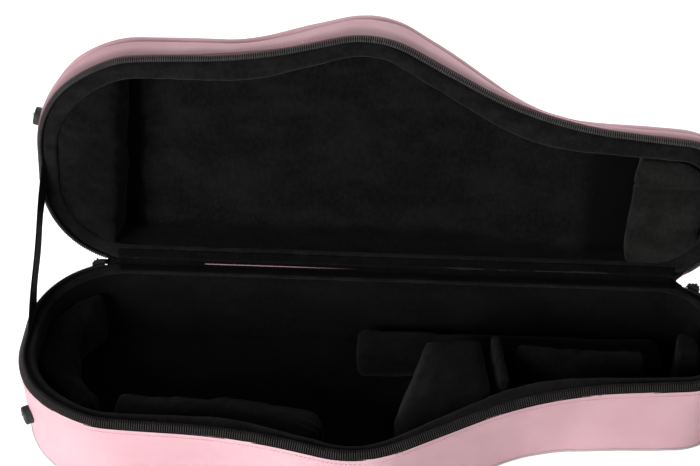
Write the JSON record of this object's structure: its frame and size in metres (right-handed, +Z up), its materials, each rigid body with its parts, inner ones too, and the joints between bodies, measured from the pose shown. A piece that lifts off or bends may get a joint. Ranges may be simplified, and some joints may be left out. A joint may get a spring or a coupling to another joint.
{
  "type": "alto saxophone case",
  "caption": "Shaped soft-covered case for an alto saxophone, zipped clamshell with a plush cushioned inside, fabric hinge and lid strap.",
  "frame": {"origin": "centre of the case's length and width on its flat underside", "axes": "+X from the bell end to the neck end, +Y from the front to the hinge, +Z up"},
  "size_m": [0.7604, 0.4146, 0.3689],
  "materials": {
    "pink_fabric": "woven, satin sheen",
    "pink_piping": "woven",
    "grey_piping": "woven",
    "black_plush": "short nap",
    "foam": "stiff foam, hidden",
    "zip_tape": "woven tape",
    "zip_teeth": "moulded coil",
    "webbing": "ribbed webbing",
    "rubber": "matte",
    "black_metal": "satin",
    "rivet_metal": "polished"
  },
  "bodies": {
    "base": {"base_bottom_panel": "pink_fabric", "base_end_foot": "rubber", "base_foam_shell": "foam", "base_foot_rivet": "rivet_metal", "base_lining": "black_plush", "base_lip": "black_plush", "base_piping": "grey_piping", "base_side_band": "pink_fabric", "base_zip_tape": "zip_tape", "base_zip_teeth": "zip_teeth", "bell_block": "black_plush", "body_bed": "black_plush", "bow_cushion": "black_plush", "divider_pad": "black_plush", "end_block": "black_plush", "front_bolster": "black_plush", "hinge_fabric": "pink_fabric", "hinge_lining": "black_plush", "neck_bed": "black_plush", "neck_rail": "black_plush", "stay_strap": "webbing", "zip_slider_left": "black_metal", "zip_slider_right": "black_metal", "zip_tail_left": "zip_tape", "zip_tail_right": "zip_tape"},
    "lid": {"lid_end_foot": "rubber", "lid_end_pad": "black_plush", "lid_foam_shell": "foam", "lid_foot_rivet": "rivet_metal", "lid_lining": "black_plush", "lid_lip": "black_plush", "lid_neck_pad": "black_plush", "lid_panel": "pink_fabric", "lid_piping": "pink_piping", "lid_side_band": "pink_fabric", "lid_zip_tape": "zip_tape", "lid_zip_teeth": "zip_teeth"},
    "pull_left": {"zip_pull_left": "black_metal"},
    "pull_right": {"zip_pull_right": "black_metal"}
  },
  "joints": [
    {"name": "lid_hinge", "type": "hinge", "parent": "base", "child": "lid", "pos_m": [0, 0.1328, 0.1103], "axis": [1, 0, 0], "range_deg": [0, 106], "deforming": ["hinge_fabric", "hinge_lining", "stay_strap", "zip_tail_left", "zip_tail_right"]},
    {"name": "pull_left_swing", "type": "hinge", "parent": "base", "child": "pull_left", "pos_m": [-0.31429, 0.13253, 0.1103], "axis": [0.9248, 0.3805, 0], "range_deg": [-3, 70]},
    {"name": "pull_right_swing", "type": "hinge", "parent": "base", "child": "pull_right", "pos_m": [0.34697, 0.12461, 0.1103], "axis": [0.7998, -0.6003, 0], "range_deg": [-3, 95]}
  ]
}
